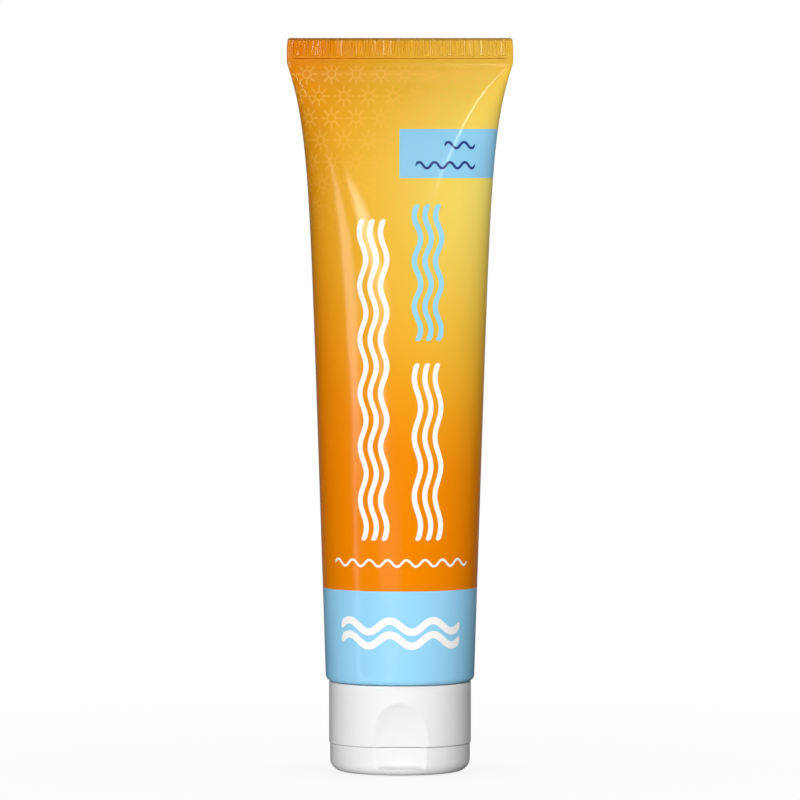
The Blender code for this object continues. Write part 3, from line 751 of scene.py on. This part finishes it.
def strap_windows(piece):
    """The windows beside the hinge that the straps lie in. The straps' ends reach past them."""
    half = STRAP_WIDTH / 2 + PIECE_GAP
    reach = STRAP_REACH - STRAP_ROOT
    inner = (COLLAR_RADIUS + SNAP_BEAD + LID_INNER_RADIUS) / 2
    low = (-half, inner, HINGE_HEIGHT - reach)
    high = (half, BASE_RADIUS + LID_WALL, HINGE_HEIGHT + reach)
    return [
        block(f"{piece}_window_{side}", low, high, turn, EDGE_RADIUS, None)
        for side, turn in strap_turns()
    ]


def strip(name, reach, place, outline, material):
    """An upright strip across the hinge line, its outline given by the rise above the line."""
    rings = []
    for rise in np.linspace(-reach, reach, BEND_ROWS):
        rings.append([place @ Vector((x, y, HINGE_HEIGHT + rise)) for x, y in outline(rise)])
    return skinned(name, rings, material)


def make_straps(material):
    """Snap straps, waisted at the hinge line."""
    inner = BASE_RADIUS - (BASE_WALL + STRAP_THICKNESS) / 2

    def outline(rise):
        waist = (math.cos(math.pi * rise / STRAP_REACH) / 2 + 0.5) ** 2
        half = (STRAP_WIDTH - (STRAP_WIDTH - STRAP_WAIST) * waist) / 2
        return chamfered(-half, half, inner, inner + STRAP_THICKNESS, EDGE_RADIUS / 2)

    return [
        strip(f"strap_{side}", STRAP_REACH, turn, outline, material)
        for side, turn in strap_turns()
    ]


def make_film(material):
    """The thin film that the lid turns on, grooved along the hinge line."""
    half = FILM_WIDTH / 2

    def outline(rise):
        groove = FILM_GROOVE * max(0, 1 - abs(rise) / FILM_GROOVE_REACH)
        inner = FILM_OUTSIDE - FILM_THICKNESS + groove
        return chamfered(-half, half, inner, FILM_OUTSIDE, FILM_THICKNESS / 4)

    return strip("hinge_film", FILM_REACH, Matrix(), outline, material)


def make_lands(material):
    """The pads on the base and on the lid that carry the film."""
    outer = FILM_OUTSIDE - FILM_THICKNESS + EDGE_RADIUS / 2
    half = FILM_WIDTH / 2 + EDGE_RADIUS
    reach = FILM_REACH + EDGE_RADIUS
    places = {
        "cap": (BASE_RADIUS - BASE_WALL / 2, HINGE_HEIGHT + LAND_START, HINGE_HEIGHT + reach),
        "lid": (LID_RADIUS - LID_WALL / 2, HINGE_HEIGHT - reach, HINGE_HEIGHT - LAND_START),
    }
    for body, (inner, bottom, top) in places.items():
        low, high = (-half, inner, bottom), (half, outer, top)
        places[body] = block(f"hinge_land_{body}", low, high, Matrix(), EDGE_RADIUS, material)
    return places


# Materials
class Field:
    """A number at each point of a surface, worked out by shader nodes."""

    def __init__(self, tree, socket):
        self.tree = tree
        self.socket = socket

    def using(self, operation, *others):
        node = self.tree.nodes.new("ShaderNodeMath")
        node.operation = operation
        for place, value in zip(node.inputs, (self,) + others):
            join(self.tree, value, place)
        return Field(self.tree, node.outputs[0])

    def __add__(self, other):
        return self.using("ADD", other)

    def __sub__(self, other):
        return self.using("SUBTRACT", other)

    def __rsub__(self, other):
        return self.using("MULTIPLY", -1.0) + other

    def __mul__(self, other):
        return self.using("MULTIPLY", other)

    def __truediv__(self, other):
        return self.using("DIVIDE", other)

    __radd__ = __add__
    __rmul__ = __mul__


def join(tree, value, place):
    """Sets a socket to a number, or links a field or a socket to it."""
    if isinstance(value, Field):
        tree.links.new(value.socket, place)
    elif isinstance(value, bpy.types.NodeSocket):
        tree.links.new(value, place)
    else:
        place.default_value = value


def fill(tree, node, inputs):
    """Sets or links inputs of a node by their names."""
    for name, value in inputs.items():
        join(tree, value, node.inputs[name.replace("_", " ")])
    return node


def add_node(tree, kind, **inputs):
    return fill(tree, tree.nodes.new("ShaderNode" + kind), inputs)


def ramp(field, low, high):
    """0 below low, 1 above high and smooth between them."""
    node = add_node(field.tree, "MapRange", Value=field, From_Min=low, From_Max=high)
    node.interpolation_type = "SMOOTHSTEP"
    return Field(field.tree, node.outputs["Result"])


def hypotenuse(first, second):
    return (first * first + second * second).using("SQRT")


def span(field, low, high, soft):
    """1 between two values and 0 beyond them."""
    return ramp(field, low - soft, low + soft) * (1 - ramp(field, high - soft, high + soft))


def either(*masks):
    """Where any of the masks is 1."""
    result = masks[0]
    for mask in masks[1:]:
        result = result.using("MAXIMUM", mask)
    return result


def blend_colour(factor, first, second):
    """Mixes two colours, each given by a value or a socket."""
    node = factor.tree.nodes.new("ShaderNodeMix")
    node.data_type = "RGBA"
    for place, value in ((0, factor), (6, first), (7, second)):
        join(factor.tree, value, node.inputs[place])
    return node.outputs[2]


def paint(red, green, blue):
    """A colour written as screen values from 0 to 255, as the linear colour that it stands for."""
    screen = np.array([red, green, blue]) / 255
    linear = np.where(screen <= 0.04045, screen / 12.92, ((screen + 0.055) / 1.055) ** 2.4)
    return (*linear.tolist(), 1.0)


def new_material(name, **values):
    """A material with its Principled shader's own sockets set."""
    material = bpy.data.materials.new(name)
    material.use_nodes = True
    tree = material.node_tree
    return material, tree, fill(tree, tree.nodes["Principled BSDF"], values)


def own_place(tree):
    """Where each point of a surface lies in its own piece."""
    return add_node(tree, "TexCoord").outputs["Object"]


def coordinates(tree, place):
    return [Field(tree, axis) for axis in add_node(tree, "SeparateXYZ", Vector=place).outputs]


def pattern(tree, place, scale, detail, kind="TexNoise", stretch=None):
    """A procedural texture, which may be stretched by a factor along each axis."""
    if stretch:
        place = add_node(tree, "Mapping", Vector=place, Scale=stretch).outputs["Vector"]
    texture = add_node(tree, kind, Vector=place, Scale=scale, Detail=detail)
    return Field(tree, texture.outputs[0])


def closed_in(tree, reach, only_local=False):
    """0 in the open, and above it in a corner no wider than the reach."""
    corner = add_node(tree, "AmbientOcclusion", Distance=reach)
    corner.only_local = only_local
    return 1 - Field(tree, corner.outputs["AO"])


def add_bump(tree, shader, height, distance):
    bump = add_node(tree, "Bump", Height=height, Distance=distance)
    tree.links.new(bump.outputs["Normal"], shader.inputs["Normal"])


def mix_shaders(tree, share, first, second, output):
    """Sends a mix of two shaders to the surface of an output."""
    mix = tree.nodes.new("ShaderNodeMixShader")
    for value, place in zip((share, first.outputs[0], second.outputs[0]), mix.inputs):
        join(tree, value, place)
    tree.links.new(mix.outputs[0], tree.nodes[output].inputs["Surface"])


# Print layout, in millimetres of film: across from the middle of the front, and up
PRINT_EDGE = 0.06
FILM_ROUND = 110.0
BAND_TOP = 43.38
PATCH_LEFT, PATCH_RIGHT = -0.12, 27.0
PATCH_LOW, PATCH_HIGH = 139.88, 151.37
GLOW_ACROSS, GLOW_UP = 24.0, 137.0
GLOW_SQUEEZE = 1.08
PRESSED_UP = (165.0, 166.8)
PRESSED_DULLNESS = 0.03
# Painted shade: the film's colour darkens just below the seal and along the seal's cut top edge
SEAL_SHADE_UP = (164.4, 167.2)
SEAL_SHADE = 0.14
END_SHADE_UP = (172.10, 172.40)
END_SHADE = 0.36
SUN_COLUMN_PITCH, SUN_ROW_PITCH = 5.80, 5.17
SUN_ACROSS, SUN_UP = -21.9, 164.28
SUN_RING, SUN_STROKE = 0.96, 0.36
SUN_SOFT = 0.13
SUN_RAYS = 8
SUN_RAY_START, SUN_RAY_END = 1.3, 2.5
SUN_FADE = (-5.0, 55.0)
SUN_FADE_SLOPE = 1.5
SUN_EDGE = (-50.0, -36.0)
SUN_STRENGTH = 0.70
SUN_TOP = 166.3

# The film's colours by distance from the middle of its yellow glow, as shares of PRINT_SPAN
ORANGE = {
    0.00: paint(241, 221, 112),
    0.20: paint(241, 204, 86),
    0.30: paint(241, 191, 66),
    0.40: paint(241, 178, 48),
    0.50: paint(241, 160, 28),
    0.62: paint(241, 140, 9),
    0.80: paint(241, 133, 0),
}
SKY_BLUE = paint(152, 214, 247)
PATCH_BLUE = paint(144, 205, 236)
PRINT_WHITE = paint(250, 249, 247)
NAVY = paint(38, 62, 128)
SUN_TONE = paint(255, 191, 82)
BLACK = paint(0, 0, 0)
WHITE = paint(255, 255, 255)

# Wavy strands by colour: whether they stand upright, their middle line, its ends, their number,
# spacing, amplitude, wavelength and stroke
STRANDS = {
    PRINT_WHITE: [
        (True, -6.33, (55.2, 130.3), 3, 2.5, 0.75, 12.52, 1.25),
        (True, 6.6, (55.2, 96.7), 3, 2.5, 0.75, 13.83, 1.25),
        (False, 49.95, (-17.3, 18.1), 1, 4.0, 0.75, 4.43, 0.55),
        (False, 33.55, (-15.4, 15.8), 2, 3.3, 1.3, 10.4, 1.7),
    ],
    SKY_BLUE: [(True, 6.6, (101.8, 133.8), 3, 2.5, 0.75, 10.67, 1.25)],
    NAVY: [
        (False, 147.6, (10.4, 17.8), 1, 4.0, 0.7, 3.7, 0.6),
        (False, 142.9, (3.6, 18.0), 1, 4.0, 0.7, 3.6, 0.6),
    ],
}

# Surface of the film: roughness, how far its grain changes it, and its relief in metres
FILM_ROUGHNESS, FILM_GRAIN = 0.13, 0.04
FILM_RIPPLE_STRETCH = (22.0, 5.0, 1.0)
FILM_GRAIN_SCALE = 420.0
FILM_RELIEF = 0.00006

# White plastic: its two tints, its roughness and how far flow marks and grain change it
PLASTIC_TINTS = (0.865, 0.865, 0.855, 1.0), (0.845, 0.85, 0.85, 1.0)
PLASTIC_ROUGHNESS, PLASTIC_FLOW, PLASTIC_GRAIN = 0.31, 0.05, 0.03
PLASTIC_FLOW_STRETCH = (1.0, 1.0, 0.3)
PLASTIC_FLOW_SCALE, PLASTIC_GRAIN_SCALE = 180.0, 6000.0
PLASTIC_RELIEF = 0.00001

# How far into a corner of the white plastic the painted shade reaches, and how much that painted
# shade darkens it
CREVICE_REACH = 0.0010
CREVICE_SHADE = 1.1


def waves(across, up, upright, centre, reach, count, spacing, amplitude, length, stroke):
    """Parallel wavy strands about a line, between the two ends of their reach."""
    along, off = (up, across - centre) if upright else (across, up - centre)
    start, end = reach
    turn = (along - start) * (math.tau / length)
    away = off - turn.using("SINE") * amplitude
    slope = turn.using("COSINE") * (amplitude * math.tau / length)
    steepness = (slope * slope + 1).using("SQRT")
    shift = spacing / 2 if count % 2 == 0 else 0
    nearest = (away + shift).using("PINGPONG", spacing / 2) / steepness
    beyond = (along - (start + end) / 2).using("ABSOLUTE") - (end - start - stroke) / 2
    nearest = hypotenuse(nearest, beyond.using("MAXIMUM", 0.0))
    strand = 1 - ramp(nearest, stroke / 2 - PRINT_EDGE, stroke / 2 + PRINT_EDGE)
    whole = count * spacing / 2
    return strand * span(away, -whole, whole, PRINT_EDGE)


def sun_lattice(across, up):
    """Staggered rows of small line-drawn suns that fade to the right and down."""
    row = ((SUN_UP - up) / SUN_ROW_PITCH).using("ROUND")
    shift = row.using("FLOORED_MODULO", 2.0) * (SUN_COLUMN_PITCH / 2)
    x = (across - SUN_ACROSS - shift).using("PINGPONG", SUN_COLUMN_PITCH / 2)
    y = (up - SUN_UP).using("PINGPONG", SUN_ROW_PITCH / 2)
    radius = hypotenuse(x, y)
    ray_turn = y.using("ARCTAN2", x).using("PINGPONG", math.pi / SUN_RAYS)
    off_ray = radius * ray_turn.using("SINE")
    soft = SUN_SOFT
    stroke = SUN_STROKE / 2
    ring = 1 - ramp((radius - SUN_RING).using("ABSOLUTE"), stroke - soft, stroke + soft)
    ray = 1 - ramp(off_ray, stroke - soft, stroke + soft)
    ray = ray * span(radius, SUN_RAY_START, SUN_RAY_END, soft)
    fade = 1 - ramp(across + (SUN_UP - up) * SUN_FADE_SLOPE, *SUN_FADE)
    edges = ramp(across, *SUN_EDGE) * (1 - ramp(up, SUN_TOP - soft, SUN_TOP + soft))
    return either(ring, ray) * fade * edges


def printed_film():
    """Orange film with a yellow glow, a pale blue band and patch, suns, wavy strands and painted
    shade under the seal and at its top edge.
    """
    material, tree, shader = new_material("printed_film_look", Specular_IOR_Level=0.25)
    print_map = add_node(tree, "UVMap")
    print_map.uv_map = "print"
    place = print_map.outputs["UV"]
    millimetres = PRINT_SPAN * 1000
    across, up, _ = (way * millimetres for way in coordinates(tree, place))

    glow_across = (across - GLOW_ACROSS).using("PINGPONG", FILM_ROUND / 2) * GLOW_SQUEEZE
    glow = hypotenuse(glow_across, (up - GLOW_UP) / GLOW_SQUEEZE) / millimetres
    oranges = add_node(tree, "ValToRGB", Fac=glow)
    stops = oranges.color_ramp.elements
    stops.remove(stops[1])
    for share, tone in ORANGE.items():
        stop = stops.new(share) if share else stops[0]
        stop.color = tone
    colour = oranges.outputs["Color"]

    colour = blend_colour(sun_lattice(across, up) * SUN_STRENGTH, colour, SUN_TONE)
    band = 1 - ramp(up, BAND_TOP - PRINT_EDGE, BAND_TOP + PRINT_EDGE)
    patch = span(across, PATCH_LEFT, PATCH_RIGHT, PRINT_EDGE)
    patch = patch * span(up, PATCH_LOW, PATCH_HIGH, PRINT_EDGE)
    colour = blend_colour(band, colour, SKY_BLUE)
    colour = blend_colour(patch, colour, PATCH_BLUE)
    for tone, strands in STRANDS.items():
        mask = either(*(waves(across, up, *strand) for strand in strands))
        colour = blend_colour(mask, colour, tone)
    # Painted shade below the seal and along its top edge, blended towards black
    shade = ramp(up, *SEAL_SHADE_UP) * SEAL_SHADE + ramp(up, *END_SHADE_UP) * END_SHADE
    tree.links.new(blend_colour(shade, colour, BLACK), shader.inputs["Base Color"])

    ripple = pattern(tree, place, 1.0, 3.0, stretch=FILM_RIPPLE_STRETCH)
    grain = pattern(tree, place, FILM_GRAIN_SCALE, 2.0) * FILM_GRAIN
    pressed = ramp(up, *PRESSED_UP) * PRESSED_DULLNESS
    join(tree, FILM_ROUGHNESS + grain + pressed, shader.inputs["Roughness"])
    add_bump(tree, shader, ripple + grain, FILM_RELIEF)
    return material


def white_plastic():
    """Injection-moulded white plastic, with flow marks, a fine texture and painted shade in its
    corners.
    """
    material, tree, shader = new_material("white_cap_look", Specular_IOR_Level=0.2)
    place = own_place(tree)
    flow = pattern(tree, place, PLASTIC_FLOW_SCALE, 3.0, stretch=PLASTIC_FLOW_STRETCH)
    grain = pattern(tree, place, PLASTIC_GRAIN_SCALE, 2.0)
    roughness = PLASTIC_ROUGHNESS + flow * PLASTIC_FLOW + grain * PLASTIC_GRAIN
    join(tree, roughness, shader.inputs["Roughness"])
    tint = blend_colour(flow, *PLASTIC_TINTS)
    # Painted shade: corners and narrow gaps are darkened by an ambient-occlusion mask
    shade = closed_in(tree, CREVICE_REACH, only_local=True) * CREVICE_SHADE
    tree.links.new(blend_colour(shade, tint, BLACK), shader.inputs["Base Color"])
    add_bump(tree, shader, grain * 0.5 + flow, PLASTIC_RELIEF)
    return material


def mottled(name, texture, tints, roughness, relief, **values):
    """A material whose tint, roughness and relief follow one pattern on its surface.

    The texture is a scale and a detail, and a kind. The roughness is a value and its swing.
    """
    material, tree, shader = new_material(name, **values)
    field = pattern(tree, own_place(tree), *texture)
    tree.links.new(blend_colour(field, *tints), shader.inputs["Base Color"])
    value, swing = roughness
    join(tree, value + field * swing if swing else value, shader.inputs["Roughness"])
    add_bump(tree, shader, field, relief)
    return material


def natural_plastic():
    """Unpigmented plastic that lets some light in."""
    tints = (0.80, 0.80, 0.76, 1.0), (0.72, 0.73, 0.70, 1.0)
    depth = {"Subsurface_Weight": 0.35, "Subsurface_Scale": 0.002}
    return mottled("natural_shoulder_look", (220.0, 4.0), tints, (0.36, 0.08), 0.00002, **depth)


def washer_foam():
    """Fine closed foam with a skin."""
    tints = (0.76, 0.78, 0.80, 1.0), (0.60, 0.62, 0.65, 1.0)
    return mottled("washer_foam_look", (5200.0, 0.0, "TexVoronoi"), tints, (0.62, 0.2), 0.00005)


def lotion():
    """Thick cream lotion."""
    tints = (0.92, 0.88, 0.78, 1.0), (0.88, 0.84, 0.73, 1.0)
    depth = {"Subsurface_Weight": 0.5, "Subsurface_Scale": 0.003}
    return mottled("lotion_look", (120.0, 3.0), tints, (0.22, 0), 0.0002, **depth)


# Camera, lights and floor
CAMERA_HEIGHT = 0.146
CAMERA_DISTANCE = 1.507
CAMERA_TILT = math.radians(2.222)
CAMERA_VIEW = math.radians(7.16)
FLOOR_DROP = 0.00005
FLOOR_REACH = 1.6
SHADOW_REACH = 0.03
SHADOW_DEPTH = 0.13
FLOOR_TONE = (0.4, 0.4, 0.4, 1.0)
FLOOR_GLOW = 0.97
FLOOR_FADE = (0.04, 0.25)
SURROUND_RADIUS = 0.42
SURROUND_HEIGHT = 0.9
SURROUND_BACK = (0.24, 0.40)
SURROUND_GLOW = 0.14
WORLD_FILL = 0.04

# Lamps: name, place, size and power, and then roll and aim. A place is an azimuth, 0 on the
# camera's side, a distance from the axis and a height.
MATT_LAMPS = (
    ("key", (-13, 0.50, 0.03), (0.26, 0.06), 2.08),
    ("low_light", (-24, 0.13, 0.012), (0.05, 0.02), 0.013, 0, 0.010),
    ("low_right", (60, 0.13, 0.006), (0.05, 0.008), 0.006, 0, 0.003),
    ("right_light", (64, 0.20, 0.28), (0.09, 0.09), 0.29),
    ("back_light", (180, 0.80, 0.22), (0.25, 0.30), 4.5),
)
GLOSS_LAMPS = (
    ("left_strip", (-49.5, 0.36, 0.128), (0.105, 0.075), 0.17, 60),
    ("left_foot", (-59.5, 0.36, 0.045), (0.117, 0.012), 0.035, 46),
    ("left_shine", (-18, 0.36, 0.190), (0.10, 0.055), 0.24),
    ("left_glow", (-18, 0.36, 0.120), (0.05, 0.085), 0.07),
    ("corner_shine", (-58, 0.36, 0.276), (0.03, 0.02), 0.08, -10),
    ("right_shine", (13, 0.36, 0.40), (0.02, 0.30), 0.60, -22),
)


def add_camera():
    camera = bpy.data.cameras.new("camera")
    camera.sensor_fit = "HORIZONTAL"
    camera.angle = CAMERA_VIEW
    camera.clip_start = 0.01
    holder = new_object("camera", camera)
    holder.location = (0, -CAMERA_DISTANCE, CAMERA_HEIGHT)
    holder.rotation_euler = (math.pi / 2 - CAMERA_TILT, 0, 0)
    bpy.context.scene.camera = holder


def add_softbox(name, place, size, power, roll=0, aim=SLEEVE_TOP / 2, glossy=False):
    """A rectangular lamp aimed at a height on the axis, for its matt or for its glossy light."""
    lamp = bpy.data.lights.new(name, "AREA")
    lamp.shape = "RECTANGLE"
    lamp.size, lamp.size_y = size
    lamp.energy = power
    holder = new_object(name, lamp)
    holder.visible_diffuse = not glossy
    holder.visible_glossy = glossy
    holder.visible_camera = False
    azimuth, distance, height = place
    turn = math.radians(azimuth)
    spot = Vector((math.sin(turn) * distance, -math.cos(turn) * distance, height))
    facing = (Vector((0, 0, aim)) - spot).to_track_quat("-Z", "Y").to_matrix().to_4x4()
    lean = Matrix.Rotation(math.radians(roll), 4, "Z")
    holder.matrix_world = Matrix.Translation(spot) @ facing @ lean


def seen_directly(tree):
    """1 for rays from the camera and for those that gloss or glass sends on."""
    rays = add_node(tree, "LightPath").outputs
    kinds = ("Camera", "Glossy", "Transmission")
    return either(*(Field(tree, rays[f"Is {kind} Ray"]) for kind in kinds))


def add_world():
    world = bpy.context.scene.world = bpy.data.worlds.new("studio")
    world.use_nodes = True
    tree = world.node_tree
    dim = fill(tree, tree.nodes["Background"], {"Color": WHITE, "Strength": WORLD_FILL})
    white = add_node(tree, "Background", Color=WHITE, Strength=1.0)
    mix_shaders(tree, seen_directly(tree), dim, white, "World Output")


def add_floor():
    """A plain pale floor that keeps a faint shadow near the tube and runs out into white."""
    material, tree, shader = new_material("floor_look", Base_Color=FLOOR_TONE, Roughness=0.9)
    x, y, _ = coordinates(tree, own_place(tree))
    shadow = closed_in(tree, SHADOW_REACH) * SHADOW_DEPTH
    glow = add_node(tree, "Emission", Strength=1 - shadow)
    faded = FLOOR_GLOW + ramp(hypotenuse(x, y), *FLOOR_FADE) * (1 - FLOOR_GLOW)
    mix_shaders(tree, seen_directly(tree) * faded, shader, glow, "Material Output")
    reach = FLOOR_REACH
    corners = [(-reach, -reach, 0), (reach, -reach, 0), (reach, reach, 0), (-reach, reach, 0)]
    floor = make_piece("floor", corners, [(0, 1, 2, 3)], material)
    floor.location.z = -FLOOR_DROP


def add_surround():
    """A dark screen round and on the table, which only gloss shows and which keeps it clear."""
    values = {"Base Color": BLACK, "Specular IOR Level": 0.0, "Emission Color": WHITE}
    dark, tree, shader = new_material("surround_look", **values)
    _, y, _ = coordinates(tree, own_place(tree))
    join(tree, ramp(y, *SURROUND_BACK) * SURROUND_GLOW, shader.inputs["Emission Strength"])
    turns = even_turns(SMALL_COLUMNS)
    low = SURROUND_RADIUS * np.column_stack([np.sin(turns), np.cos(turns), 0 * turns])
    points = np.concatenate([low, low + (0, 0, SURROUND_HEIGHT)])
    faces = [list(face) for face in grid_faces(2, len(turns), False)]
    faces.append(list(range(len(turns))))
    surround = make_piece("surround", points, faces, dark)
    surround.location.z = -FLOOR_DROP / 2
    surround.visible_camera = surround.visible_diffuse = surround.visible_shadow = False


def dress():
    """Puts every piece on its body and in the place of the solid that it stands for."""
    film = printed_film()
    plastic = white_plastic()
    natural = natural_plastic()
    foam = washer_foam()
    cream = lotion()

    for piece in (make_sleeve(film), make_seal(film)):
        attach(piece, "tube")
        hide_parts("tube_sleeve")
    thread = (NECK_RADIUS, THREAD_DEPTH, NECK_THREAD_START, NECK_THREAD_TURNS)
    neck_thread = make_thread("neck_thread", *thread, natural)
    for piece in (make_shoulder(natural), neck_thread):
        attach(piece, "tube")
        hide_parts("tube_shoulder")
    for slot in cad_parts["lotion_fill"].material_slots:
        slot.material = cream
    washer = make_washer(foam)
    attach(washer, "washer")
    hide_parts("sealing_washer")

    thread = (SOCKET_RADIUS, -THREAD_DEPTH, SOCKET_THREAD_START, SOCKET_THREAD_TURNS)
    socket_thread = make_thread("socket_thread", *thread, plastic)
    lands = make_lands(plastic)
    base_pieces = [make_base(plastic), make_collar(plastic), socket_thread, lands["cap"]]
    for piece in base_pieces + make_webs(plastic):
        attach(piece, "cap")
        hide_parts("cap_base")
    for piece in (make_lid(plastic), lands["lid"]):
        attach(piece, "lid")
        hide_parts("flip_lid")

    hinge_film = make_film(plastic)
    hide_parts("film_hinge")
    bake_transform(hinge_film)
    for side, strap in zip(("left", "right"), make_straps(plastic)):
        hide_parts(f"hinge_strap_{side}")
        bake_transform(strap)


bpy.context.scene.view_settings.view_transform = "Standard"
dress()
add_floor()
add_world()
add_surround()
for lamp in MATT_LAMPS:
    add_softbox(*lamp, glossy=False)
for lamp in GLOSS_LAMPS:
    add_softbox(*lamp, glossy=True)
add_camera()
